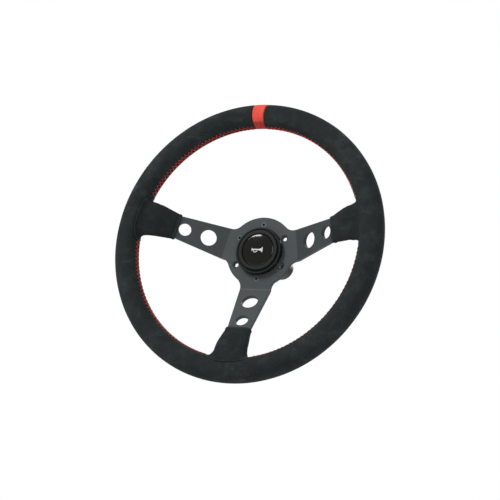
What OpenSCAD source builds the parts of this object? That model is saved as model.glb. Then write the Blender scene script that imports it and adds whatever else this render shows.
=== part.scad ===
// Quick release steering wheel: a dished three-spoke wheel with a suede-covered rim, a horn
// button, and a ball-lock splined quick release that slides off a stub on the steering column.
// Everything is drawn along +Z from the column end to the driver, with 12 o'clock at +Y, and
// upright() then turns it so that the driver is at -Y and 12 o'clock is at +Z.
// The origin is the mouth of the column socket, on the wheel's axis.

/* [Rim] */
// Outside diameter of the covered rim
rim_d = 350; // [340:1:360]
// Thickness of the covered rim
rim_grip_d = 30; // [28:1:32]
// How far the rim's middle plane stands in front of the hub plate
rim_dish = 49; // [45:1:53]
// Thickness of the suede cover
suede_t = 1.6; // [1.2:0.1:2.0]
// Diameter of the metal ring inside the foam
core_d = 13; // [12:0.5:14]
// Width of the stripe at 12 o'clock
stripe_w = 17.4; // [12:0.2:20]

/* [Spokes] */
// Thickness of the spoke plate
plate_t = 5; // [4:0.5:5]
// Radius of the flat hub
hub_r = 44.5; // [43:0.5:46]
// Distance from the axis to the bend of each spoke
bend_r = 48.8; // [48:0.2:50]
// Angle that the spokes rise at
bend_deg = 30; // [28:1:33]
// How far the two upper spokes point above level
upper_spoke_deg = 11.3; // [8:0.1:14]
// Width of a spoke at its bend
spoke_w = 40; // [38:1:42]
// Width of a spoke where it goes into its boot
spoke_tip_w = 29; // [27:1:31]
// Diameter of the larger, inner lightening hole
big_hole_d = 20.5; // [18:0.5:22]
// Diameter of the smaller, outer lightening hole
small_hole_d = 16; // [14:0.5:17]
// Distance along the spoke from its bend to the larger hole
big_hole_at = 23; // [21:0.5:25]
// Distance along the spoke from its bend to the smaller hole
small_hole_at = 54.5; // [52:0.5:55]
// How much nearer to the hub the lower spoke's holes are
lower_hole_shift = 2.6; // [0:0.2:3]

/* [Hub screws] */
// Diameter of the circle that the hub holes are on
bolt_pcd = 70; // [69.5:0.5:70.5]
// Clearance hole of an M5 screw
screw_hole_d = 5.3; // [5.2:0.1:5.6]
// Width of the countersunk head
screw_head_d = 9.4; // [9.0:0.1:9.8]

/* [Boots] */
// Distance along the spoke from its bend to the boot's cuff
cuff_at = 65.5; // [63:0.5:67]
// Thickness of the boot around the spoke
boot_t = 2.6; // [2:0.1:3]

/* [Quick release] */
// Bore of the socket for the steering column
column_d = 19.1; // [18:0.1:20]
// Depth of the socket
column_depth = 24; // [20:1:25]
// Outside diameter of the release collar
collar_d = 50; // [48:1:52]
// How far the collar is pulled to let the balls out
collar_travel = 5; // [4.5:0.1:5]
// Diameter of a locking ball
ball_d = 6; // [6:0.1:6.1]

/* [Horn button] */
// Outside diameter of the horn's bezel
bezel_d = 60.4; // [57:0.2:61]
// Diameter of the glossy disc
disc_d = 41.2; // [40:0.2:41.6]

/* [Hidden] */
$fn = 64;
cut = 0.05;

// Heights along the axis, from the column to the driver
shoulder_z = 26;
spline_z = 30;
nose_z = 42;
ball_z = 48;
nose_top_z = 54;
cup_z = 63;
pocket_z = 66;
flange_z = 70.5;
plate_z = 75.5;
plate_top = plate_z + plate_t;

// Rim
rim_r = rim_grip_d / 2;
rim_ring_r = rim_d / 2 - rim_r;
rim_z = plate_top + rim_dish;
foam_r = rim_r - suede_t;
core_r = core_d / 2;
stripe_deg = stripe_w / (rim_d / 2) * 180 / PI;

// Spokes, as the middle surface of the bent plate
spoke_degs = [upper_spoke_deg, 180 - upper_spoke_deg, 270];
bend_radius = 7;
bend_steps = 6;
mid_z = plate_top - plate_t / 2;
bend_x = bend_r + plate_t / 2 * tan(bend_deg / 2) - bend_radius * tan(bend_deg / 2);
rise = rim_z - mid_z - 2 * bend_radius * (1 - cos(bend_deg));
flat_x = bend_x + 2 * bend_radius * sin(bend_deg) + rise / tan(bend_deg);
spoke_end = rim_ring_r - core_r + 1;
cuff_x = bend_r + cuff_at * cos(bend_deg);
spoke_end_w = 22;
hub_fillet = 14;
hub_bore_r = 25.5;
open_holes = [60, 120, 240];
screw_holes = [0, 180, 300];

// Quick release
nose_r = 10.5;
spline_tip_r = 12.2;
spline_teeth = 10;
spline_tooth_w = 3;
spline_play = 0.15;
nose_play = 0.12;
ball_r = ball_d / 2;
ball_lock_r = nose_r - 1.5 + ball_r;
ball_out = 1.7;
ball_count = 6;
barrel_r = 14.9;
collar_play = 0.08;
ball_slope = ball_out / collar_travel;
land_r = ball_lock_r + (ball_r + 0.07) * sqrt(1 + ball_slope * ball_slope);
recess_r = land_r + ball_slope * collar_travel;
recess_back = ball_z - collar_travel - ball_r - 0.4;
collar_bore_r = barrel_r + collar_play;
collar_back = recess_back - 5;
collar_front = ball_z + 9;
land_end = ball_z + (land_r - collar_bore_r) / ball_slope;
spring_seat = ball_z + 4.5;
spring_r = 17.4;
spring_wire = 1.1;
spring_turns = 3.5;
flange_r = 43;
cup_r = 28;
scallop_r = 8;
wire_hole_r = 8;
snap_z = collar_back - 1.5;
snap_groove_r = 13.9;

// Horn
housing_r = 25.2;
housing_back = plate_top - 12.6;
housing_floor = 1.8;
floor_top = housing_back + housing_floor;
horn_travel = 2.5;
contact_t = 0.8;
contact_gap = horn_travel + 0.05;
contact_r = 19.5;
horn_spring_at = 15.5;
horn_spring_r = 2.5;
horn_spring_wire = 0.6;
horn_spring_turns = 5.5;
cap_r = disc_d / 2 + 0.1;
cap_under = plate_top + 2.2;
cap_top = plate_top + 7.4;
lip_under = plate_top + 4;
bezel_top = plate_top + 8.6;
cap_flange_r = cap_r + 2;

module upright() {
    rotate([90, 0, 0]) children();
}

module ring(outer, inner, z0, z1) {
    translate([0, 0, z0]) difference() {
        cylinder(r = outer, h = z1 - z0);
        translate([0, 0, -cut]) cylinder(r = inner, h = z1 - z0 + 2 * cut);
    }
}

// A round wire wound in a helix from z = 0 to height, as one closed solid
module coil(coil_r, wire_d, turns, height, per_turn, sides) {
    rings = ceil(turns * per_turn);
    pts = [
        for (i = [0 : rings]) let (a = 360 * turns * i / rings, z = wire_d / 2 + (height - wire_d) * i / rings)
            for (k = [0 : sides - 1]) let (b = 360 * k / sides, r = coil_r + wire_d / 2 * cos(b))
                [r * cos(a), r * sin(a), z + wire_d / 2 * sin(b)]
    ];
    walls = [
        for (i = [0 : rings - 1])
            for (k = [0 : sides - 1]) let (n = (k + 1) % sides)
                [i * sides + k, i * sides + n, (i + 1) * sides + n, (i + 1) * sides + k]
    ];
    start = [for (k = [sides - 1 : -1 : 0]) k];
    end = [for (k = [0 : sides - 1]) rings * sides + k];
    polyhedron(points = pts, faces = concat([start], walls, [end]), convexity = 10);
}

// ---- column side of the quick release ----

module spline_teeth(tip, tooth_w, z0, z1) {
    translate([0, 0, z0]) linear_extrude(z1 - z0) intersection() {
        circle(r = tip);
        for (i = [0 : spline_teeth - 1])
            rotate(360 / spline_teeth * i)
                translate([0, -tooth_w / 2]) square([tip + 1, tooth_w]);
    }
}

module column_stub() {
    color("gray") upright() difference() {
        union() {
            rotate_extrude() polygon([
                [0, 0], [14.2, 0], [15, 0.8], [15, shoulder_z], [17.5, shoulder_z + 0.8],
                [17.5, spline_z - 0.5], [17, spline_z], [nose_r, spline_z], [nose_r, nose_top_z - 2],
                [nose_r - 1.5, nose_top_z], [0, nose_top_z]
            ]);
            spline_teeth(spline_tip_r, spline_tooth_w, spline_z - cut, nose_z);
        }
        translate([0, 0, -cut]) cylinder(r = column_d / 2, h = column_depth + cut);
        cylinder(r = 5, h = 100);
        rotate_extrude() translate([ball_lock_r, ball_z]) circle(r = ball_r + 0.1);
        rotate_extrude() translate([nose_r - 0.9, nose_z + 1.8]) circle(r = 0.92);
        stub_screw_places() cylinder(r = 3, h = 10);
    }
}

module stub_screw_places() {
    for (a = [90, 180])
        rotate([0, 0, a]) translate([9.8, 0, column_depth / 2]) rotate([0, 90, 0]) children();
}

module stub_set_screws() {
    color("black") upright() stub_screw_places() difference() {
        union() {
            cylinder(r1 = 1.5, r2 = 2.95, h = 1);
            translate([0, 0, 1]) cylinder(r = 2.95, h = 3.8);
        }
        translate([0, 0, 2.6]) cylinder(r = 1.7, h = 5, $fn = 6);
    }
}

module nose_o_ring() {
    color("black") upright()
        rotate_extrude() translate([nose_r - 0.9, nose_z + 1.8]) circle(r = 0.9);
}

// ---- wheel side of the quick release ----

module qr_body() {
    bore_r = nose_r + nose_play;
    color("silver") upright() difference() {
        rotate_extrude() polygon([
            [bore_r, spline_z + 0.3], [barrel_r - 0.6, spline_z + 0.3], [barrel_r, spline_z + 0.9],
            [barrel_r, snap_z], [snap_groove_r, snap_z], [snap_groove_r, snap_z + 1.2], [barrel_r, snap_z + 1.2],
            [barrel_r, cup_z], [cup_r - 0.8, cup_z], [cup_r, cup_z + 0.8],
            [cup_r, flange_z], [flange_r - 0.6, flange_z], [flange_r, flange_z + 0.6],
            [flange_r, plate_z], [28, plate_z], [28, plate_z - 1.5], [housing_r + 0.2, plate_z - 1.5],
            [housing_r + 0.2, pocket_z], [wire_hole_r, pocket_z], [wire_hole_r, nose_top_z + 1],
            [bore_r, nose_top_z + 1]
        ]);
        spline_teeth(spline_tip_r + spline_play, spline_tooth_w + 2 * spline_play, spline_z, nose_z + 0.4);
        for (i = [0 : ball_count - 1])
            rotate([0, 0, 360 / ball_count * i]) translate([nose_r - 2.5, 0, ball_z]) rotate([0, 90, 0])
                cylinder(r = ball_r + 0.08, h = 12);
        for (a = open_holes)
            rotate([0, 0, -a]) translate([0, bolt_pcd / 2, flange_z - 1]) {
                cylinder(r = scallop_r, h = 10);
                translate([-scallop_r, 0, 0]) cube([2 * scallop_r, 20, 10]);
            }
        for (a = screw_holes)
            rotate([0, 0, -a]) translate([0, bolt_pcd / 2, flange_z - 1]) cylinder(r = 2.5, h = 10);
    }
}

module release_collar() {
    color("dimgray") upright() rotate_extrude() polygon([
        [collar_bore_r, collar_back], [collar_d / 2 - 1.5, collar_back],
        [collar_d / 2 - 0.7, collar_back + 0.8], [collar_d / 2 - 0.7, collar_front - 5],
        [collar_d / 2 + 1.3, collar_front - 4], [collar_d / 2 + 1.3, collar_front - 0.8],
        [collar_d / 2 + 0.5, collar_front], [spring_r + 2, collar_front],
        [spring_r + 2, spring_seat], [collar_bore_r, spring_seat],
        [collar_bore_r, land_end], [recess_r, ball_z - collar_travel],
        [recess_r, recess_back], [collar_bore_r, recess_back]
    ]);
}

module collar_spring() {
    color("lightgray") upright() translate([0, 0, spring_seat + cut])
        coil(spring_r, spring_wire, spring_turns, cup_z - spring_seat - 2 * cut, 28, 8);
}

module snap_ring() {
    color("dimgray") upright() difference() {
        ring(barrel_r + 1.6, snap_groove_r + 0.05, snap_z + 0.1, snap_z + 1.1);
        translate([-2, 0, snap_z - 1]) cube([4, 30, 4]);
    }
}

module ball(i) {
    color("white") upright() rotate([0, 0, 360 / ball_count * i])
        translate([ball_lock_r, 0, ball_z]) sphere(r = ball_r);
}

// ---- spoke plate ----

// Side view of one spoke from the axis to the rim, with both bends rounded
function bent_edge(d) = concat(
    [[0, mid_z + d]],
    [for (i = [0 : bend_steps]) let (a = bend_deg * i / bend_steps)
        [bend_x + (bend_radius - d) * sin(a), mid_z + bend_radius - (bend_radius - d) * cos(a)]],
    [for (i = [bend_steps : -1 : 0]) let (a = bend_deg * i / bend_steps)
        [flat_x - (bend_radius + d) * sin(a), rim_z - bend_radius + (bend_radius + d) * cos(a)]],
    [[spoke_end, rim_z + d]]
);

function flip(list) = [for (i = [len(list) - 1 : -1 : 0]) list[i]];

module bent_strip(half_t, w) {
    rotate([90, 0, 0]) translate([0, 0, -w / 2]) linear_extrude(w)
        polygon(concat(bent_edge(-half_t), flip(bent_edge(half_t))));
}

module plan_outline() {
    offset(r = -hub_fillet) offset(delta = hub_fillet) {
        circle(r = hub_r, $fn = 96);
        for (a = spoke_degs)
            rotate(a) polygon([
                [0, -spoke_w / 2], [bend_r, -spoke_w / 2], [cuff_x, -spoke_tip_w / 2],
                [spoke_end, -spoke_end_w / 2], [spoke_end, spoke_end_w / 2],
                [cuff_x, spoke_tip_w / 2], [bend_r, spoke_w / 2], [0, spoke_w / 2]
            ]);
    }
}

// A place on the front of a spoke, s along it from the bend, with +Z square to the spoke
module on_spoke(a, s) {
    rotate([0, 0, a]) translate([bend_r + s * cos(bend_deg), 0, plate_top + s * sin(bend_deg)])
        rotate([0, -bend_deg, 0]) children();
}

module spoke_plate() {
    color("dimgray") upright() difference() {
        intersection() {
            translate([0, 0, plate_z - 5]) linear_extrude(rim_dish + 20) plan_outline();
            union() {
                translate([0, 0, plate_z]) cylinder(r = hub_r + 1, h = plate_t);
                for (a = spoke_degs)
                    rotate([0, 0, a]) bent_strip(plate_t / 2, 60);
            }
        }
        translate([0, 0, plate_z - 10]) cylinder(r = hub_bore_r, h = 30);
        for (a = [0 : 60 : 300])
            rotate([0, 0, -a]) translate([0, bolt_pcd / 2, plate_z - 1]) {
                cylinder(r = screw_hole_d / 2, h = plate_t + 2);
                translate([0, 0, plate_t + 1 - (screw_head_d - screw_hole_d) / 2])
                    cylinder(r1 = screw_hole_d / 2, r2 = screw_head_d / 2 + 0.1,
                             h = (screw_head_d - screw_hole_d) / 2 + 0.1);
            }
        for (a = spoke_degs) {
            shift = a == 270 ? lower_hole_shift : 0;
            on_spoke(a, big_hole_at - shift) translate([0, 0, -10]) cylinder(r = big_hole_d / 2, h = 20);
            on_spoke(a, small_hole_at - shift) translate([0, 0, -10]) cylinder(r = small_hole_d / 2, h = 20);
        }
    }
}

module mounting_screws() {
    shank_r = 2.45;
    head_r = screw_head_d / 2 - 0.33;
    head_h = head_r - shank_r;
    color("gainsboro") upright()
        for (a = screw_holes)
            rotate([0, 0, -a]) translate([0, bolt_pcd / 2, 0]) difference() {
                union() {
                    translate([0, 0, flange_z + 0.3]) cylinder(r = shank_r, h = plate_top - flange_z - 2);
                    translate([0, 0, plate_top - head_h - 0.25])
                        cylinder(r1 = shank_r, r2 = head_r, h = head_h);
                }
                translate([0, 0, plate_top - 2.6]) cylinder(r = 1.75, h = 5, $fn = 6);
            }
}

// ---- rim ----

// The space that the spokes take in the rim, wider all round by gap
module spoke_space(gap) {
    intersection() {
        union() {
            for (a = spoke_degs)
                rotate([0, 0, a]) bent_strip(plate_t / 2 + gap, spoke_end_w + 30);
        }
        union() {
            for (a = spoke_degs)
                rotate([0, 0, a]) translate([cuff_x - 12, 0, plate_z]) linear_extrude(rim_dish + 20)
                    polygon([
                        [0, -spoke_tip_w / 2 - 1.2 - gap], [spoke_end - cuff_x + 12 + gap, -spoke_end_w / 2 - gap],
                        [spoke_end - cuff_x + 12 + gap, spoke_end_w / 2 + gap], [0, spoke_tip_w / 2 + 1.2 + gap]
                    ]);
        }
    }
}

module rim_sector(tube_r, hole_r, from, to) {
    translate([0, 0, rim_z]) rotate([0, 0, from]) rotate_extrude(angle = to - from, $fn = 128)
        translate([rim_ring_r, 0]) difference() {
            circle(r = tube_r, $fn = 64);
            if (hole_r > 0) circle(r = hole_r, $fn = 64);
        }
}

module rim_core() {
    color("silver") upright() difference() {
        translate([0, 0, rim_z]) rotate_extrude($fn = 128) translate([rim_ring_r, 0]) circle(r = core_r);
        spoke_space(0);
    }
}

module rim_foam() {
    color("darkslategray") upright() difference() {
        translate([0, 0, rim_z]) rotate_extrude($fn = 128) translate([rim_ring_r, 0]) difference() {
            circle(r = foam_r);
            circle(r = core_r);
        }
        spoke_space(0.1);
    }
}

module rim_cover(from, to) {
    color([0.15, 0.16, 0.16]) upright() difference() {
        rim_sector(rim_r, foam_r, from, to);
        spoke_space(0.1);
    }
}

module rim_cover_left() {
    rim_cover(90 + stripe_deg / 2, 270 - 0.01);
}

module rim_cover_right() {
    rim_cover(-90 + 0.01, 90 - stripe_deg / 2);
}

module rim_stripe() {
    color([0.85, 0.2, 0.17]) upright()
        rim_sector(rim_r, foam_r, 90 - stripe_deg / 2 + 0.01, 90 + stripe_deg / 2 - 0.01);
}

// A boot: a sleeve from the cuff to the rim that flares into the rim's inner side
module boot(a) {
    sleeve_w = spoke_tip_w + 2 * boot_t;
    sleeve_h = plate_t + 2 * boot_t;
    color([0.13, 0.14, 0.14]) upright() difference() {
        union() {
            hull() {
                on_spoke(a, cuff_at + 1) rotate([0, 90, 0])
                    translate([plate_t / 2, 0, 0]) slab(sleeve_h, sleeve_w, 2);
                rotate([0, 0, a]) translate([flat_x - 3, 0, rim_z]) rotate([0, 90, 0])
                    slab(sleeve_h + 5, sleeve_w + 2, 2);
            }
            hull() {
                rotate([0, 0, a]) translate([flat_x - 3, 0, rim_z]) rotate([0, 90, 0])
                    slab(sleeve_h + 5, sleeve_w + 2, 2);
                rotate([0, 0, a]) translate([rim_ring_r - 12, 0, rim_z]) rotate([0, 90, 0])
                    slab(rim_grip_d - 6, sleeve_w + 24, 2);
            }
        }
        translate([0, 0, rim_z]) rotate_extrude($fn = 128)
            translate([rim_ring_r, 0]) circle(r = rim_r + 0.02, $fn = 64);
        spoke_space(0.1);
    }
}

module slab(h, w, t) {
    linear_extrude(t, center = true) hull()
        for (y = [-1, 1]) translate([0, y * (w - h) / 2]) circle(d = h, $fn = 24);
}

module boot_left() {
    boot(spoke_degs[1]);
}

module boot_right() {
    boot(spoke_degs[0]);
}

module boot_lower() {
    boot(spoke_degs[2]);
}

// The line of red thread along the rim's inner side, between the boots
module rim_stitching() {
    boot_deg = 13;
    gaps = [
        [spoke_degs[0] + boot_deg, spoke_degs[1] - boot_deg],
        [spoke_degs[1] + boot_deg, spoke_degs[2] - boot_deg],
        [spoke_degs[2] + boot_deg - 360, spoke_degs[0] - boot_deg]
    ];
    color("red") upright()
        for (g = gaps)
            translate([0, 0, rim_z]) rotate([0, 0, g[0]]) rotate_extrude(angle = g[1] - g[0], $fn = 128)
                translate([rim_ring_r - rim_r - 0.55, 0]) circle(r = 0.5, $fn = 16);
}

// The red thread that closes each boot along the back of its spoke
module boot_stitching() {
    boot_taper = 3;
    color("red") upright()
        for (a = spoke_degs)
            on_spoke(a, cuff_at + 3) translate([0, 0, -plate_t - boot_t - 0.75]) rotate([0, 90 + boot_taper, 0])
                cylinder(r = 0.45, h = 16, $fn = 16);
}

// ---- horn button ----

module horn_bezel() {
    br = bezel_d / 2;
    color("black") upright() rotate_extrude() polygon([
        [br - 0.6, plate_top], [br, plate_top + 0.6], [br - 0.2, plate_top + 5.6],
        [br - 1, plate_top + 6.6], [br - 2.4, plate_top + 6.6], [br - 3, plate_top + 5.4],
        [br - 3.8, plate_top + 5.4], [br - 4.6, bezel_top - 0.4], [br - 5.2, bezel_top],
        [cap_r + 1, bezel_top], [cap_r + 0.3, bezel_top - 0.8],
        [cap_r + 0.3, lip_under], [cap_flange_r + 0.4, lip_under],
        [cap_flange_r + 0.4, plate_top + 1.5], [28, plate_top + 1.5], [28, plate_top]
    ]);
}

module horn_housing() {
    color("black") upright() difference() {
        union() {
            translate([0, 0, housing_back]) cylinder(r = housing_r, h = plate_top - housing_back + 1);
            translate([0, 0, plate_top]) cylinder(r = 27.8, h = 1.4);
        }
        translate([0, 0, floor_top]) cylinder(r = housing_r - 1.8, h = 30);
        for (x = [-1, 1])
            translate([x * 4 - 0.45, -3.2, housing_back - 1]) cube([0.9, 6.4, 5]);
    }
}

module horn_clip() {
    color("silver") upright() difference() {
        ring(27.6, housing_r + 0.05, plate_z - 1.4, plate_z - 0.1);
        rotate([0, 0, 180]) translate([-3, 0, plate_z - 3]) cube([6, 40, 5]);
    }
}

module spring_holes(r) {
    for (a = [90, 210, 330])
        rotate([0, 0, a]) translate([horn_spring_at, 0, -1]) cylinder(r = r, h = 4);
}

module horn_fixed_contact() {
    color("goldenrod") upright() translate([0, 0, floor_top]) difference() {
        ring(contact_r, 9, 0, contact_t);
        spring_holes(horn_spring_r + 0.8);
    }
}

module horn_terminals() {
    color("goldenrod") upright()
        for (x = [-1, 1])
            translate([x * 4 - 0.4, -3.15, housing_back - 8]) cube([0.8, 6.3, 8 + housing_floor]);
}

module horn_cap() {
    color("black") upright() difference() {
        union() {
            translate([0, 0, cap_under]) cylinder(r = cap_r, h = cap_top - cap_under);
            translate([0, 0, plate_top - 0.5]) cylinder(r = cap_flange_r, h = 4.3);
            translate([0, 0, moving_contact_z() + contact_t])
                cylinder(r = 8, h = plate_top + 1 - moving_contact_z());
        }
        difference() {
            translate([0, 0, plate_top - 1]) cylinder(r = cap_r - 1, h = 1 + cap_under - plate_top);
            cylinder(r = 8, h = 200);
        }
    }
}

function moving_contact_z() = floor_top + contact_t + contact_gap;

module horn_disc() {
    dr = disc_d / 2;
    dome = [for (i = [0 : 8]) let (t = i / 8) [(dr - 1.2) * (1 - t), cap_top + 1 + 1.2 * (1 - (1 - t) * (1 - t))]];
    color([0.03, 0.03, 0.03]) upright()
        rotate_extrude() polygon(concat([[0, cap_top], [dr, cap_top], [dr, cap_top + 0.3]], dome));
}

module horn_moving_contact() {
    color("silver") upright() translate([0, 0, moving_contact_z()]) difference() {
        cylinder(r = contact_r, h = contact_t);
        spring_holes(horn_spring_r + 0.8);
    }
}

module horn_springs() {
    color("lightgray") upright()
        for (a = [90, 210, 330])
            rotate([0, 0, a]) translate([horn_spring_at, 0, floor_top + cut])
                coil(horn_spring_r, horn_spring_wire, horn_spring_turns, cap_under - floor_top - 2 * cut, 14, 6);
}

column_stub();
stub_set_screws();
nose_o_ring();
qr_body();
release_collar();
collar_spring();
snap_ring();
ball(0);  // ball_1
ball(1);  // ball_2
ball(2);  // ball_3
ball(3);  // ball_4
ball(4);  // ball_5
ball(5);  // ball_6
spoke_plate();
mounting_screws();
rim_core();
rim_foam();
rim_cover_left();
rim_cover_right();
rim_stripe();
boot_left();
boot_right();
boot_lower();
rim_stitching();
boot_stitching();
horn_bezel();
horn_housing();
horn_clip();
horn_fixed_contact();
horn_terminals();
horn_cap();
horn_disc();
horn_moving_contact();
horn_springs();
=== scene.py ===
import bpy
import math
from mathutils import Matrix, Vector, noise


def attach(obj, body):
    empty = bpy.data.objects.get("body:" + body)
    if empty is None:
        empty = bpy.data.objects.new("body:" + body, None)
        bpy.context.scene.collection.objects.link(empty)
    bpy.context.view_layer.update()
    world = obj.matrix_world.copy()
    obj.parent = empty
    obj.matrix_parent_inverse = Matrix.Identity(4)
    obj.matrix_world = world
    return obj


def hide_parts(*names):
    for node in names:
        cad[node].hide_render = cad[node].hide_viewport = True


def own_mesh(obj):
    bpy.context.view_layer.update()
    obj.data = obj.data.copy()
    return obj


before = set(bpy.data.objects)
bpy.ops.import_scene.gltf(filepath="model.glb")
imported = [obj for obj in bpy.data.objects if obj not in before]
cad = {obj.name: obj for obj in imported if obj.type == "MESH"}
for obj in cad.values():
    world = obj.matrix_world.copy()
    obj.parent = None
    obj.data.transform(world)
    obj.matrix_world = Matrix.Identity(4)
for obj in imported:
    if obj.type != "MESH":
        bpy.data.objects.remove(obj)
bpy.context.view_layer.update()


# Room: a white studio with a plain pale floor well below the wheel, one large soft key light from the
# upper left, a weak one from the front right, and one behind.
scene = bpy.context.scene
scene.view_settings.view_transform = "Standard"
world = bpy.data.worlds.new("studio_air")
scene.world = world
world.use_nodes = True
air = world.node_tree
air.nodes.clear()
air_out = air.nodes.new("ShaderNodeOutputWorld")
air_mix = air.nodes.new("ShaderNodeMixShader")
air_path = air.nodes.new("ShaderNodeLightPath")
air_fill = air.nodes.new("ShaderNodeBackground")
air_fill.inputs["Color"].default_value = (1.0, 1.0, 1.0, 1.0)
air_fill.inputs["Strength"].default_value = 0.40
air_seen = air.nodes.new("ShaderNodeBackground")
air_seen.inputs["Color"].default_value = (1.0, 1.0, 1.0, 1.0)
air_seen.inputs["Strength"].default_value = 1.0
air.links.new(air_path.outputs["Is Camera Ray"], air_mix.inputs["Fac"])
air.links.new(air_fill.outputs[0], air_mix.inputs[1])
air.links.new(air_seen.outputs[0], air_mix.inputs[2])
air.links.new(air_mix.outputs[0], air_out.inputs["Surface"])

floor_z = -0.56
bpy.ops.object.select_all(action="DESELECT")
bpy.ops.mesh.primitive_circle_add(vertices=128, radius=3.2, fill_type="NGON", location=(0.0, 0.0, floor_z))
floor = bpy.context.object
floor.name = "studio_floor"
floor_paint = bpy.data.materials.new("pale_floor")
floor_paint.use_nodes = True
floor_shader = floor_paint.node_tree.nodes["Principled BSDF"]
floor_shader.inputs["Base Color"].default_value = (0.80, 0.80, 0.80, 1.0)
floor_shader.inputs["Roughness"].default_value = 0.9
floor.data.materials.append(floor_paint)

for lamp_name, lamp_at, lamp_size, lamp_power in (
    ("key_light", (-1.25, -1.82, 1.68), 0.9, 50.0),
    ("right_fill", (1.15, -1.62, 0.55), 0.9, 9.0),
    ("back_light", (0.4, 1.9, 1.2), 1.2, 30.0),
):
    lamp_data = bpy.data.lights.new(lamp_name, "AREA")
    lamp_data.size = lamp_size
    lamp_data.energy = lamp_power
    lamp = bpy.data.objects.new(lamp_name, lamp_data)
    scene.collection.objects.link(lamp)
    lamp.location = lamp_at
    lamp.rotation_euler = (Vector((0.0, -0.1, 0.0)) - Vector(lamp_at)).to_track_quat("-Z", "Y").to_euler()

# Camera: a long lens 1.5 m from the hub, 24 degrees round to the driver's right and 14 degrees below the hub,
# rolled 8 degrees.
cam_data = bpy.data.cameras.new("camera")
cam_data.lens = 86.8
cam_data.sensor_width = 36.0
cam_data.shift_x = -0.0198
cam_data.shift_y = 0.0035
cam_data.dof.use_dof = False
camera = bpy.data.objects.new("camera", cam_data)
scene.collection.objects.link(camera)
cam_right = Vector((0.9191, 0.3713, 0.1318)).normalized()
cam_back = Vector((0.3933, -0.8854, -0.2478)).normalized()
cam_up = cam_back.cross(cam_right).normalized()
cam_right = cam_up.cross(cam_back)
camera.matrix_world = Matrix.Translation((0.5899, -1.4086, -0.3718)) @ Matrix(
    (cam_right, cam_up, cam_back)).transposed().to_4x4()
scene.camera = camera


# Rim covers: two lengths of black suede wrapped over the foam, which makes a grip 30 mm thick. Their edges
# meet in a seam along the inner side of the ring, where the thread pulls small puckers. Their ends roll down
# beside the stripe.
def node_tree(name):
    paint = bpy.data.materials.new(name)
    paint.use_nodes = True
    tree = paint.node_tree
    shader = tree.nodes["Principled BSDF"]
    where = tree.nodes.new("ShaderNodeTexCoord")
    return paint, tree, shader, where


def stretched(tree, where, scale):
    mapping = tree.nodes.new("ShaderNodeMapping")
    mapping.inputs["Scale"].default_value = scale
    tree.links.new(where.outputs["Object"], mapping.inputs["Vector"])
    return mapping.outputs[0]


def grain(tree, vector, scale, detail, rough=0.5):
    cloud = tree.nodes.new("ShaderNodeTexNoise")
    cloud.inputs["Scale"].default_value = scale
    cloud.inputs["Detail"].default_value = detail
    cloud.inputs["Roughness"].default_value = rough
    tree.links.new(vector, cloud.inputs["Vector"])
    return cloud.outputs["Fac"]


def ramp(tree, fac, stops):
    band = tree.nodes.new("ShaderNodeValToRGB")
    line = band.color_ramp
    line.elements[0].position = stops[0][0]
    line.elements[0].color = (*stops[0][1], 1.0)
    line.elements[1].position = stops[-1][0]
    line.elements[1].color = (*stops[-1][1], 1.0)
    for at, tone in stops[1:-1]:
        line.elements.new(at).color = (*tone, 1.0)
    tree.links.new(fac, band.inputs["Fac"])
    return band.outputs["Color"]


def grey(v):
    return (v, v, v)


def blend_tones(tree, fac, one, two, mode="MIX"):
    mix = tree.nodes.new("ShaderNodeMix")
    mix.data_type = "RGBA"
    mix.blend_type = mode
    if isinstance(fac, float):
        mix.inputs["Factor"].default_value = fac
    else:
        tree.links.new(fac, mix.inputs["Factor"])
    tree.links.new(one, mix.inputs["A"])
    tree.links.new(two, mix.inputs["B"])
    return mix.outputs["Result"]


def bump(tree, shader, height, strength, distance, under=None):
    relief = tree.nodes.new("ShaderNodeBump")
    relief.inputs["Strength"].default_value = strength
    relief.inputs["Distance"].default_value = distance
    tree.links.new(height, relief.inputs["Height"])
    if under is not None:
        tree.links.new(under, relief.inputs["Normal"])
    tree.links.new(relief.outputs["Normal"], shader.inputs["Normal"])
    return relief.outputs["Normal"]


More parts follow.
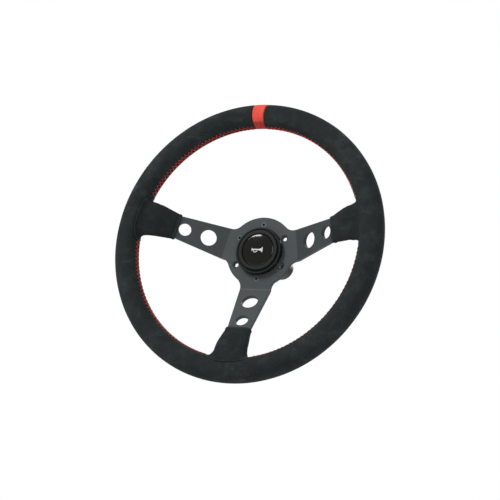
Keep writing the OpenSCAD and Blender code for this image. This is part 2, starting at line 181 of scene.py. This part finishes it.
def suede(name, dark, light, scuff, sheen, painted_light_attr=None):
    paint, tree, shader, where = node_tree(name)
    spot = where.outputs["Object"]
    nap = ramp(tree, grain(tree, spot, 60.0, 6.0, 0.66), [(0.30, dark), (0.50, light), (0.72, scuff)])
    broad = ramp(tree, grain(tree, spot, 13.0, 3.0), [(0.30, grey(0.84)), (0.70, grey(1.16))])
    fibre = ramp(tree, grain(tree, spot, 700.0, 4.0, 0.75), [(0.25, grey(0.70)), (0.75, grey(1.3))])
    brushed = ramp(tree, grain(tree, stretched(tree, where, (34.0, 60.0, 95.0)), 1.0, 3.0, 0.55),
                   [(0.60, grey(1.0)), (0.70, grey(1.45))])
    tone = blend_tones(tree, 1.0, nap, broad, "MULTIPLY")
    tone = blend_tones(tree, 1.0, tone, fibre, "MULTIPLY")
    tone = blend_tones(tree, 1.0, tone, brushed, "MULTIPLY")
    # An optional point attribute paints light into the colour: below zero it is painted shade, down to half
    # the colour; above zero it is a painted highlight, up to about twice as light.
    if painted_light_attr is not None:
        painted_light_node = tree.nodes.new("ShaderNodeAttribute")
        painted_light_node.attribute_name = painted_light_attr
        shift = tree.nodes.new("ShaderNodeMath")
        shift.operation = "MULTIPLY_ADD"
        shift.inputs[1].default_value = 0.5
        shift.inputs[2].default_value = 0.5
        tree.links.new(painted_light_node.outputs["Fac"], shift.inputs[0])
        painted_light_level = ramp(tree, shift.outputs[0], [(0.0, grey(0.50)), (0.5, grey(1.0)), (1.0, (1.9, 2.0, 2.0))])
        tone = blend_tones(tree, 1.0, tone, painted_light_level, "MULTIPLY")
    tree.links.new(tone, shader.inputs["Base Color"])
    shader.inputs["Roughness"].default_value = 0.96
    shader.inputs["Specular IOR Level"].default_value = 0.12
    shader.inputs["Sheen Weight"].default_value = sheen
    shader.inputs["Sheen Roughness"].default_value = 0.45
    shader.inputs["Sheen Tint"].default_value = (0.75, 0.88, 0.88, 1.0)
    soft = bump(tree, shader, grain(tree, spot, 160.0, 4.0, 0.6), 0.35, 0.0006)
    bump(tree, shader, grain(tree, spot, 1900.0, 2.0, 0.7), 0.55, 0.0002, soft)
    return paint


def pick(piece):
    """Link a piece to the scene if it is new, and make it the only selected and active one."""
    if piece.name not in scene.collection.objects:
        scene.collection.objects.link(piece)
    bpy.ops.object.select_all(action="DESELECT")
    piece.select_set(True)
    bpy.context.view_layer.objects.active = piece


def mesh_piece(name, verts, faces):
    """A new piece from points and faces, with its normals turned outward."""
    mesh = bpy.data.meshes.new(name)
    mesh.from_pydata([tuple(v) for v in verts], [], faces)
    mesh.update()
    piece = bpy.data.objects.new(name, mesh)
    pick(piece)
    bpy.ops.object.mode_set(mode="EDIT")
    bpy.ops.mesh.select_all(action="SELECT")
    bpy.ops.mesh.normals_make_consistent(inside=False)
    bpy.ops.object.mode_set(mode="OBJECT")
    return piece


def grid_piece(name, rings, caps=False):
    """A skin through closed rings of points; every ring has the same number of points."""
    n = len(rings[0])
    faces = []
    for i in range(len(rings) - 1):
        for j in range(n):
            k = (j + 1) % n
            faces.append((i * n + j, i * n + k, (i + 1) * n + k, (i + 1) * n + j))
    if caps:
        faces.append(tuple(range(n - 1, -1, -1)))
        faces.append(tuple((len(rings) - 1) * n + j for j in range(n)))
    piece = mesh_piece(name, [p for ring in rings for p in ring], faces)
    bpy.ops.object.shade_smooth_by_angle(angle=math.radians(50.0))
    return piece


ring_radius = 0.160
ring_y = -0.1295
grip_radius = 0.015


def on_tube(angle, around, tube):
    """A point on the grip: angle round the ring from +X, around the tube from its outer side by the front."""
    reach = ring_radius + tube * math.cos(around)
    return Vector((reach * math.cos(angle), ring_y - tube * math.sin(around), reach * math.sin(angle)))


upper_spoke = 11.3
boot_angles = {
    "left": math.radians(180.0 - upper_spoke),
    "right": math.radians(upper_spoke),
    "lower": math.radians(-90.0),
}
boot_patches = {
    "left": (13.2, 11.4, 47.0, 58.0),
    "right": (11.4, 13.2, 36.0, 58.0),
    "lower": (12.2, 12.2, 54.0, 58.0),
}
patch_power = 2.5


def patch_reach(side, along, front):
    """Half sizes of a boot's patch: along the ring on that side, and around the grip to front or back."""
    plus, minus, forward, behind = boot_patches[side]
    return math.radians(plus if along > 0.0 else minus), math.radians(forward if front else behind)


stitch_pitch = math.radians(2.05)
black_suede = suede("black_suede", (0.0140, 0.0169, 0.0168), (0.0174, 0.0212, 0.0211),
                    (0.0270, 0.0330, 0.0330), 0.05)


def gap_to(angle, other):
    return (angle - other + math.pi) % (2.0 * math.pi) - math.pi


stitch_reach = 0.0044


def cover_radius(angle, around, end):
    """Radius of the suede: puckered at the inner seam, let in under the boots, rolled down at its end."""
    radius = 0.01498
    seam_half = 0.0011
    hole_half = 0.0012
    pucker_half = 0.0042
    let_in = 0.0011
    roll = 0.0016
    inner = gap_to(around, math.pi) * grip_radius
    seam = math.exp(-(inner / seam_half) ** 2)
    pulled = math.exp(-((abs(inner) - stitch_reach) / hole_half) ** 2)
    pulled += 0.4 * math.exp(-(inner / pucker_half) ** 2)
    beat = 0.5 + 0.5 * math.cos(2.0 * math.pi * angle / stitch_pitch)
    radius -= 0.00055 * seam + 0.00030 * pulled * beat
    spot = Vector((math.cos(angle) * 7.0, math.sin(angle) * 7.0, around * 1.3))
    radius -= 0.00018 * (0.5 + 0.5 * noise.noise(spot))
    for side, boot in boot_angles.items():
        a = gap_to(angle, boot)
        b = gap_to(around, math.pi)
        long_half, round_half = patch_reach(side, a, b < 0.0)
        inside = abs(a / long_half) ** patch_power + abs(b / round_half) ** patch_power
        radius -= let_in * min(1.0, max(0.0, (1.06 - inside ** (1.0 / patch_power)) / 0.05))
    away = abs(gap_to(angle, end)) * ring_radius
    if away < roll:
        radius -= let_in * (1.0 - away / roll) ** 2
    return radius


stripe_width = 0.0174
rim_radius = ring_radius + grip_radius
stripe_half = stripe_width / rim_radius / 2.0
for side, first, last in (("left", math.pi / 2 + stripe_half, math.pi * 1.5),
                          ("right", -math.pi / 2, math.pi / 2 - stripe_half)):
    steps = 420
    columns = 72
    spots = [first + (last - first) * i / steps for i in range(steps + 1)]
    near = spots[0] if side == "left" else spots[-1]
    inward = 1.0 if side == "left" else -1.0
    roll_spots = [near + inward * away / ring_radius for away in (0.0002, 0.0006, 0.0011, 0.0016)]
    rings = []
    for angle in sorted(set(spots + roll_spots)):
        ring = []
        for j in range(columns):
            around = 2.0 * math.pi * j / columns
            around += 0.15 * math.sin(2.0 * around)
            ring.append(on_tube(angle, around, cover_radius(angle, around, near)))
        rings.append(ring)
    cover = grid_piece("suede_cover_" + side, rings, caps=True)
    cover.data.materials.append(black_suede)
    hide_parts("rim_cover_" + side)
    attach(cover, "wheel")


# Stripe: a band of red suede 17 mm wide at 12 o'clock, let in between the ends of the two covers. Its own
# edges are rolled under, so a fine dark line shows on each side. Its inner side is darkened by painted shade.
# The red suede takes painted shade on the stripe's inner side, read from a point attribute.
red_suede = suede("red_suede", (0.60, 0.060, 0.042), (0.74, 0.080, 0.058), (0.84, 0.110, 0.080), 0.10,
                  "painted_shade_inner")
steps = 32
columns = 96
edge_roll = 0.0010
rings = []
for i in range(steps + 1):
    share = i / steps * 2.0 - 1.0
    across = stripe_half * (share * 0.992)
    edge_gap = (1.0 - abs(share)) * stripe_half * ring_radius
    ring = []
    for j in range(columns):
        around = 2.0 * math.pi * j / columns
        radius = 0.01496
        inner = gap_to(around, math.pi) * grip_radius
        radius -= 0.0007 * math.exp(-(inner / 0.0010) ** 2)
        if edge_gap < edge_roll:
            radius -= 0.0009 * (1.0 - edge_gap / edge_roll) ** 2
        bow = 0.0006 / ring_radius * math.sin(around * 2.0 + 0.6) * share
        ring.append(on_tube(math.pi / 2 + across * 0.985 + bow * 0.3, around, radius))
    rings.append(ring)
stripe = grid_piece("red_stripe", rings, caps=True)
# Painted shade: the inner side of the stripe is darkened down to half its colour.
painted_shade_inner = stripe.data.attributes.new("painted_shade_inner", "FLOAT", "POINT")
for i in range(len(rings) * columns):
    around = 2.0 * math.pi * (i % columns) / columns
    painted_shade_inner.data[i].value = -min(1.0, max(0.0, (math.cos(around - math.pi) - 0.62) / 0.14))
stripe.data.materials.append(red_suede)
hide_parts("rim_stripe")
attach(stripe, "wheel")


# Thread along the rim: two ends of waxed red thread laced across the seam on the inner side, one stitch about
# every 5 mm. Each pass rises over the seam and dips into a needle hole 4 mm to its side.
def thread(name, dark, light):
    paint, tree, shader, where = node_tree(name)
    spot = where.outputs["Object"]
    twist = grain(tree, spot, 1400.0, 2.0, 0.6)
    wear = ramp(tree, grain(tree, spot, 70.0, 3.0), [(0.3, grey(0.72)), (0.7, grey(1.15))])
    tone = blend_tones(tree, 1.0, ramp(tree, twist, [(0.35, dark), (0.65, light)]), wear, "MULTIPLY")
    tree.links.new(tone, shader.inputs["Base Color"])
    shader.inputs["Roughness"].default_value = 0.62
    shader.inputs["Specular IOR Level"].default_value = 0.25
    bump(tree, shader, twist, 0.6, 0.00015)
    return paint


def cords(name, paths, radius, sides=6):
    """Round thread along each list of points, with closed ends, all in one mesh."""
    verts, faces = [], []
    for path in paths:
        base = len(verts)
        for i, p in enumerate(path):
            ahead = (path[min(i + 1, len(path) - 1)] - path[max(i - 1, 0)]).normalized()
            side_way = ahead.cross(Vector((0.31, 0.77, 0.56))).normalized()
            other = ahead.cross(side_way)
            for j in range(sides):
                turn = 2.0 * math.pi * j / sides
                verts.append(p + (side_way * math.cos(turn) + other * math.sin(turn)) * radius)
        for i in range(len(path) - 1):
            for j in range(sides):
                k = (j + 1) % sides
                faces.append((base + i * sides + j, base + i * sides + k,
                              base + (i + 1) * sides + k, base + (i + 1) * sides + j))
        faces.append(tuple(base + j for j in range(sides - 1, -1, -1)))
        faces.append(tuple(base + (len(path) - 1) * sides + j for j in range(sides)))
    piece = mesh_piece(name, verts, faces)
    bpy.ops.object.shade_smooth()
    return piece


red_thread = thread("red_thread", (0.38, 0.022, 0.016), (0.70, 0.060, 0.045))
points_per_stitch = 14
above_boot = 11.2
below_boot = 13.0
beside_lower = 12.0
beside_stripe = 3.3
paths = []
for first, last in ((upper_spoke + above_boot, 90.0 - beside_stripe),
                    (90.0 + beside_stripe, 180.0 - upper_spoke - above_boot),
                    (180.0 - upper_spoke + below_boot, 270.0 - beside_lower),
                    (-90.0 + beside_lower, upper_spoke - below_boot)):
    span = math.radians(last - first)
    count = round(span / stitch_pitch)
    for strand in (0, 1):
        path = []
        for i in range(count * points_per_stitch + 1):
            phase = i / points_per_stitch
            angle = math.radians(first) + span * phase / count
            swing = math.sin(math.pi * (phase + strand))
            lift = 0.00030 - 0.0010 * abs(swing) ** 12
            lift += 0.00014 * noise.noise(Vector((angle * 160.0, strand * 5.0, 0.0)))
            reach = stitch_reach + 0.0005 * noise.noise(Vector((angle * 90.0, strand * 3.0 + 1.0, 0.0)))
            slack = 0.0011 * math.cos(math.pi * (phase + strand)) * swing / ring_radius
            path.append(on_tube(angle + slack, math.pi + swing * reach / grip_radius, grip_radius + lift))
        paths.append(path)
rim_thread = cords("rim_thread", paths, 0.00036)
rim_thread.data.materials.append(red_thread)
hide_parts("rim_stitching")
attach(rim_thread, "wheel")


# Boots: a suede sleeve on the outer end of each spoke. It starts with a folded cuff on the bare metal, widens
# towards the ring and ends in a rounded patch sewn down on the grip.
slope = math.radians(30.0)
cuff_at = 0.0655
left_cuff_at = 0.0645
sleeve_length = 0.022


def spoke_mid(s):
    """Distance from the axis and height above the column's end of the plate's middle, s along the slope."""
    return 0.0488 + s * math.cos(slope), 0.078 + s * math.sin(slope)


def from_spoke(spoke, out, across, height):
    c, s = math.cos(spoke), math.sin(spoke)
    return Vector((out * c - across * s, -height, out * s + across * c))


# The boots' suede takes a painted highlight along the cuff fold and the edge of the sewn patch.
boot_suede = suede("boot_suede", (0.0122, 0.0145, 0.0144), (0.0152, 0.0182, 0.0181),
                   (0.0220, 0.0265, 0.0265), 0.04, "painted_highlight_edge")
cuff_fold = [(0.0, -0.0018), (0.0, -0.0002), (0.0002, 0.0004), (0.0008, 0.0007), (0.0022, 0.0008),
             (0.0034, 0.0006), (0.0040, 0.0001), (0.0044, -0.0001), (0.0050, 0.0001)]
stations = cuff_fold + [(0.0050 + 0.0170 * k / 8, 0.0001 * (1 - k / 8)) for k in range(1, 9)]
columns = 96
for side, spoke in boot_angles.items():
    rings = []
    cuff = left_cuff_at if side == "left" else cuff_at
    for along, swell in stations:
        s = cuff + along
        out, mid = spoke_mid(s)
        grow = along / sleeve_length
        wide = 0.0158 + 0.0037 * grow ** 1.1 + 0.8 * swell
        deep = 0.0037 + 0.0027 * grow + 0.7 * swell
        power = 0.42 + 0.18 * min(1.0, grow)
        ring = []
        for j in range(columns):
            turn = 2.0 * math.pi * j / columns
            c, n = math.cos(turn), math.sin(turn)
            across = wide * math.copysign(abs(c) ** power, c)
            lift = deep * math.copysign(abs(n) ** power, n)
            fold = 0.00022 * noise.noise(Vector((across * 260.0, s * 320.0, 3.0 * turn + spoke)))
            fold *= min(1.0, grow * 4.0)
            lift += fold * (1.0 if n > 0 else -1.0)
            ring.append(from_spoke(spoke, out - lift * math.sin(slope), across, mid + lift * math.cos(slope)))
        rings.append(ring)
    last_ring = rings[-1]
    before_ring = rings[-3]
    land = 0.88

    def patch_point(turn, k, proud):
        c, n = math.cos(turn), math.sin(turn)
        c = math.copysign(abs(c) ** (2.0 / patch_power), c)
        n = math.copysign(abs(n) ** (2.0 / patch_power), n)
        long_half, round_half = patch_reach(side, c, n > 0.0)
        return on_tube(spoke + k * long_half * c, math.pi - k * round_half * n, grip_radius + proud)

    sideways = Vector((-math.sin(spoke), 0.0, math.cos(spoke)))
    fillet_steps = 22
    for i in range(1, fillet_steps + 1):
        t = i / fillet_steps
        ring = []
        for j in range(columns):
            turn = 2.0 * math.pi * j / columns
            c, n = math.cos(turn), math.sin(turn)
            p0 = last_ring[j]
            d0 = (last_ring[j] - before_ring[j]).normalized()
            p1 = patch_point(turn, land, 0.0)
            d1 = (patch_point(turn, land + 0.04, 0.0) - p1).normalized()
            gap = (p1 - p0).length
            pull0 = gap * (1.25 if n > 0 else 1.15)
            pull1 = gap * (0.85 + 0.25 * abs(n))
            h00, h10 = 2 * t ** 3 - 3 * t ** 2 + 1, t ** 3 - 2 * t ** 2 + t
            h01, h11 = -2 * t ** 3 + 3 * t ** 2, t ** 3 - t ** 2
            p = p0 * h00 + d0 * (pull0 * h10) + p1 * h01 + d1 * (pull1 * h11)
            middle = math.sin(math.pi * t)
            wave = 0.0011 * noise.noise(Vector((t * 3.1, 1.7 * c, 1.7 * n + 4.0 * spoke))) * middle
            crease = 0.0004 * noise.noise(Vector((t * 9.0, 7.0 * c, 7.0 * n + 2.0 * spoke))) * middle
            p = p + sideways * ((wave + crease) * (1.0 if c > 0 else -1.0) * abs(c) ** 3)
            p = p + Vector((0.0, -1.0, 0.0)) * ((wave * 0.4 + crease) * n * abs(n) ** 2)
            ring.append(p)
        rings.append(ring)
    for k, proud in ((0.90, 0.00004), (0.93, 0.00012), (0.955, 0.00022), (0.975, 0.00026),
                     (0.990, 0.00016), (1.000, -0.00012), (1.006, -0.00055), (1.006, -0.0014)):
        rings.append([patch_point(2.0 * math.pi * j / columns, k, proud) for j in range(columns)])
    boot = grid_piece("boot_sleeve_" + side, rings)
    boot.data.materials.append(boot_suede)
    # Painted highlight: the rings on the cuff fold and on the raised edge of the patch are lightened, up to
    # about twice as light.
    painted_light_attr = boot.data.attributes.new("painted_highlight_edge", "FLOAT", "POINT")
    count = len(rings)
    painted_light_level = {3: 0.55, 4: 0.55, count - 6: 0.55, count - 5: 1.0, count - 4: 1.0}
    for i in range(count):
        edge_highlight = painted_light_level.get(i, 0.0)
        for j in range(columns):
            painted_light_attr.data[i * columns + j].value = edge_highlight
    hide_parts("boot_" + side)
    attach(boot, "wheel")


# Boot thread: small dull running stitches that hold the cuff fold of the lower boot, and the red laced seam
# that closes each sleeve along the back of its spoke.
dull_thread = thread("dull_thread", (0.055, 0.018, 0.014), (0.115, 0.034, 0.026))
paths = []
back_paths = []
for side, spoke in boot_angles.items():
    out, mid = spoke_mid(cuff_at + 0.0046)
    for i in range(9 if side == "lower" else 0):
        start = -0.0128 + i * 0.0029
        path = []
        for k in range(6):
            across = start + 0.0019 * k / 5
            lift = 0.0043 + 0.00030 * math.sin(math.pi * k / 5)
            path.append(from_spoke(spoke, out - lift * math.sin(slope), across, mid + lift * math.cos(slope)))
        paths.append(path)
    for strand in (0, 1):
        path = []
        for i in range(61):
            phase = i / 10.0
            s = 0.0668 + 0.0200 * i / 60
            swing = math.sin(2.0 * math.pi * (phase * 0.5 + 0.5 * strand))
            grow = (s - cuff_at) / sleeve_length
            lift = -(0.0037 + 0.0027 * grow + 0.0008 - 0.0008 * abs(swing) ** 5)
            out_s, mid_s = spoke_mid(s)
            path.append(from_spoke(spoke, out_s - lift * math.sin(slope), 0.0019 * swing,
                                   mid_s + lift * math.cos(slope)))
        back_paths.append(path)
cuff_thread = cords("cuff_thread", paths, 0.00028)
cuff_thread.data.materials.append(dull_thread)
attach(cuff_thread, "wheel")
boot_thread = cords("boot_thread", back_paths, 0.00045)
boot_thread.data.materials.append(red_thread)
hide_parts("boot_stitching")
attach(boot_thread, "wheel")


# Spoke plate: one 5 mm aluminium plate with three spokes, each bent at both ends, brushed and then anodised
# dark grey. Every cut edge is broken by a small chamfer.
def anodised(name, dark, light, rough, stretch, metal=0.35):
    paint, tree, shader, where = node_tree(name)
    spot = where.outputs["Object"]
    lines = grain(tree, stretched(tree, where, stretch), 1.0, 4.0, 0.7)
    cloud = grain(tree, spot, 26.0, 4.0, 0.6)
    tone = blend_tones(tree, 1.0, ramp(tree, cloud, [(0.3, dark), (0.7, light)]),
                       ramp(tree, lines, [(0.3, grey(0.84)), (0.7, grey(1.14))]), "MULTIPLY")
    tree.links.new(tone, shader.inputs["Base Color"])
    shader.inputs["Metallic"].default_value = metal
    shader.inputs["Specular IOR Level"].default_value = 0.35
    tree.links.new(ramp(tree, lines, [(0.2, grey(rough - 0.06)), (0.8, grey(rough + 0.08))]),
                   shader.inputs["Roughness"])
    fine = bump(tree, shader, lines, 0.35, 0.00010)
    bump(tree, shader, grain(tree, spot, 2600.0, 2.0, 0.6), 0.12, 0.00005, fine)
    return paint


def finished(node, name, paint, edge, body, segments=2, angle=32.0):
    """A copy of the CAD part with its flat faces merged and its sharp edges broken."""
    piece = cad[node].copy()
    piece.data = cad[node].data.copy()
    piece.name = name
    piece.parent = None
    piece.matrix_world = Matrix.Identity(4)
    for key in list(piece.keys()):
        del piece[key]
    piece.data.materials.clear()
    piece.data.materials.append(paint)
    pick(piece)
    bpy.ops.object.mode_set(mode="EDIT")
    bpy.ops.mesh.select_all(action="SELECT")
    bpy.ops.mesh.remove_doubles(threshold=0.000002)
    bpy.ops.mesh.dissolve_limited(angle_limit=math.radians(0.6))
    bpy.ops.mesh.normals_make_consistent(inside=False)
    bpy.ops.object.mode_set(mode="OBJECT")
    if edge > 0.0:
        cut = piece.modifiers.new("edge", "BEVEL")
        cut.width = edge
        cut.segments = segments
        cut.limit_method = "ANGLE"
        cut.angle_limit = math.radians(angle)
        cut.use_clamp_overlap = True
        bpy.ops.object.modifier_apply(modifier=cut.name)
    bpy.ops.object.shade_smooth_by_angle(angle=math.radians(40.0))
    even = piece.modifiers.new("even_shading", "WEIGHTED_NORMAL")
    even.keep_sharp = True
    even.weight = 80
    bpy.ops.object.modifier_apply(modifier=even.name)
    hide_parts(node)
    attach(piece, body)
    return piece


plate_grey = anodised("plate_grey", (0.036, 0.0435, 0.0455), (0.046, 0.0545, 0.0570), 0.55,
                      (45.0, 900.0, 1300.0), 0.15)
finished("spoke_plate", "brushed_plate", plate_grey, 0.00035, "wheel", 2, 40.0)


# Hub screws: three countersunk M5 steel screws with hexagon sockets, finished grey like the plate. They hold
# the plate to the flange of the release.
screw_grey = anodised("screw_grey", (0.066, 0.073, 0.076), (0.085, 0.094, 0.098), 0.42,
                      (700.0, 700.0, 700.0), 0.5)
finished("mounting_screws", "hub_screws", screw_grey, 0.00022, "wheel")


# Horn button: a matt black turned ring pressed round the button, with a raised outer lip, a groove and an
# inner ridge. Inside it sits the moving ring with the glossy domed disc that the thumb pushes.
def coated(name, tone, rough, coat, fleck):
    paint, tree, shader, where = node_tree(name)
    spot = where.outputs["Object"]
    cloud = grain(tree, spot, 55.0, 5.0, 0.6)
    dust = grain(tree, spot, 2400.0, 2.0, 0.6)
    base = ramp(tree, cloud, [(0.3, tuple(c * 0.88 for c in tone)), (0.7, tuple(c * 1.12 for c in tone))])
    base = blend_tones(tree, 1.0, base, ramp(tree, dust, [(0.3, grey(0.92)), (0.75, grey(1.1))]), "MULTIPLY")
    tree.links.new(base, shader.inputs["Base Color"])
    tree.links.new(ramp(tree, cloud, [(0.2, grey(rough * 0.9)), (0.8, grey(rough * 1.1))]),
                   shader.inputs["Roughness"])
    shader.inputs["Specular IOR Level"].default_value = 0.24
    shader.inputs["Coat Weight"].default_value = coat
    shader.inputs["Coat Roughness"].default_value = 0.05
    bump(tree, shader, dust, fleck, 0.00005)
    return paint


matt_black = coated("matt_black", (0.0045, 0.0055, 0.0057), 0.50, 0.0, 0.22)
gloss_black = coated("gloss_black", (0.0040, 0.0040, 0.0034), 0.10, 0.3, 0.004)
finished("horn_bezel", "horn_ring", matt_black, 0.00025, "wheel")
finished("horn_cap", "horn_button_ring", matt_black, 0.00020, "horn_button")
disc = finished("horn_disc", "horn_button_disc", gloss_black, 0.00020, "horn_button")


# Release: the hard-coated aluminium body bolted behind the hub, and the collar that slides on it. Both are
# turned, so their fine marks run round the axis.
body_black = anodised("body_black", (0.018, 0.019, 0.020), (0.028, 0.030, 0.031), 0.40,
                      (60.0, 900.0, 60.0), 0.5)
collar_black = anodised("collar_black", (0.022, 0.024, 0.025), (0.034, 0.037, 0.038), 0.36,
                        (60.0, 900.0, 60.0), 0.5)
finished("qr_body", "release_body", body_black, 0.0003, "wheel")
finished("release_collar", "release_sleeve", collar_black, 0.0004, "collar")

# Grip of the collar: a band of straight ribs rolled into the middle of the aluminium collar, for the fingers
# to pull on. The ribs fade out at both ends of the band.
ribs = 72
columns = ribs * 6
band_radius = 0.02418
rings = []
for at, ribbed in ((0.0372, 0.0), (0.0376, 0.6), (0.0382, 1.0), (0.0430, 1.0),
                   (0.0478, 1.0), (0.0484, 0.6), (0.0488, 0.0)):
    ring = []
    for j in range(columns):
        turn = 2.0 * math.pi * j / columns
        tooth = min(1.0, max(0.0, 0.62 + 0.9 * math.cos(turn * ribs)))
        reach = band_radius + ribbed * (0.00022 + 0.00055 * tooth)
        ring.append(Vector((reach * math.cos(turn), -at, reach * math.sin(turn))))
    rings.append(ring)
grip = grid_piece("release_sleeve_ribs", rings)
grip.data.materials.append(collar_black)
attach(grip, "collar")


# Column end: a splined steel stub with a dark phosphate finish, its two socket set screws, and the rubber
# ring that takes the rattle out of the nose.
stub_dark = anodised("stub_dark", (0.030, 0.030, 0.030), (0.048, 0.048, 0.047), 0.42,
                     (60.0, 1100.0, 60.0), 0.75)
set_black = anodised("set_black", (0.016, 0.017, 0.018), (0.027, 0.028, 0.029), 0.35,
                     (700.0, 700.0, 700.0), 0.7)
rubber = coated("rubber", (0.010, 0.010, 0.010), 0.62, 0.0, 0.35)
finished("column_stub", "splined_stub", stub_dark, 0.00025, "column")
finished("stub_set_screws", "stub_grub_screws", set_black, 0.00015, "column")
finished("nose_o_ring", "nose_ring", rubber, 0.0, "column")


# Lock: six hardened balls, the wire snap ring that stops the collar, and the flat-ground spring that pushes
# the collar back. The spring gets a mesh of its own.
bright_steel = anodised("bright_steel", (0.36, 0.36, 0.35), (0.47, 0.47, 0.46), 0.24,
                        (400.0, 400.0, 400.0), 1.0)
spring_steel = anodised("spring_wire", (0.26, 0.26, 0.25), (0.36, 0.36, 0.35), 0.32,
                        (300.0, 300.0, 300.0), 1.0)
for number in range(1, 7):
    ball = "ball_%d" % number
    finished(ball, "lock_" + ball, bright_steel, 0.0, ball + "_body")
finished("snap_ring", "collar_stop_ring", set_black, 0.00008, "wheel")
collar_coil = finished("collar_spring", "collar_return_spring", spring_steel, 0.0, "wheel")
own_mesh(collar_coil)


# Under the grip: the metal ring that the spoke ends reach, and the foam moulded round it. The covers hide
# both. The foam is firm and fills the whole space between the ring and the suede.
ring_steel = anodised("ring_steel", (0.14, 0.14, 0.14), (0.20, 0.20, 0.20), 0.45,
                      (200.0, 200.0, 200.0), 0.9)
foam_dark = coated("foam_dark", (0.030, 0.030, 0.032), 0.9, 0.0, 0.6)
for node, paint in (("rim_core", ring_steel), ("rim_foam", foam_dark)):
    cad[node].data.materials.clear()
    cad[node].data.materials.append(paint)


# Inside of the horn: a moulded housing with its spring clip, brass contacts and blades, and three small
# springs that push the button back.
brass = anodised("brass", (0.50, 0.33, 0.11), (0.62, 0.43, 0.16), 0.30, (300.0, 300.0, 300.0), 1.0)
finished("horn_housing", "horn_shell", matt_black, 0.0002, "wheel")
finished("horn_clip", "horn_retainer", spring_steel, 0.00008, "wheel")
finished("horn_fixed_contact", "horn_lower_contact", brass, 0.00008, "wheel")
finished("horn_terminals", "horn_blades", brass, 0.00012, "wheel")
finished("horn_moving_contact", "horn_upper_contact", brass, 0.00008, "horn_button")
horn_coils = finished("horn_springs", "horn_return_springs", spring_steel, 0.0, "wheel")
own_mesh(horn_coils)


# Horn mark: a plain bugle sign printed in pale ink on the disc, the usual sign for a horn button. It is a
# flat skin laid on the disc's dome.
bell = [(1.0 + 6.2 * k / 10, 0.75 + 2.9 * (k / 10) ** 2.3) for k in range(11)]
upper = [(-7.4, 1.7), (-6.7, 1.7), (-6.3, 0.75), (-6.0, 0.75)] + bell
outline = upper + [(x, -z) for x, z in reversed(upper)]
loop_steps = 16
loop_turns = [math.pi + math.pi * k / loop_steps for k in range(loop_steps + 1)]
loop_out = [(-2.4 + 3.0 * math.cos(t), -1.2 + 2.5 * math.sin(t)) for t in loop_turns]
loop_in = [(-2.4 + 2.1 * math.cos(t), -1.2 + 1.6 * math.sin(t)) for t in loop_turns]
base = len(outline)
inner_base = base + len(loop_out)
faces = [tuple(range(base))]
faces += [(base + i, base + i + 1, inner_base + i + 1, inner_base + i) for i in range(loop_steps)]
mesh = bpy.data.meshes.new("horn_sign")
mesh.from_pydata([(x * 0.001, 0.0, z * 0.001) for x, z in outline + loop_out + loop_in], [], faces)
sign_piece = bpy.data.objects.new("horn_sign", mesh)
pick(sign_piece)
bpy.ops.object.mode_set(mode="EDIT")
bpy.ops.mesh.select_all(action="SELECT")
bpy.ops.mesh.quads_convert_to_tris()
bpy.ops.mesh.subdivide(number_cuts=3)
bpy.ops.object.mode_set(mode="OBJECT")
ink_height = 0.00006
for v in mesh.vertices:
    place = disc.ray_cast((v.co.x, -0.2, v.co.z), (0.0, 1.0, 0.0))[1]
    v.co.y = place.y - ink_height
sign_ink = coated("sign_ink", (0.62, 0.62, 0.60), 0.5, 0.0, 0.15)
mesh.materials.append(sign_ink)
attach(sign_piece, "horn_button")
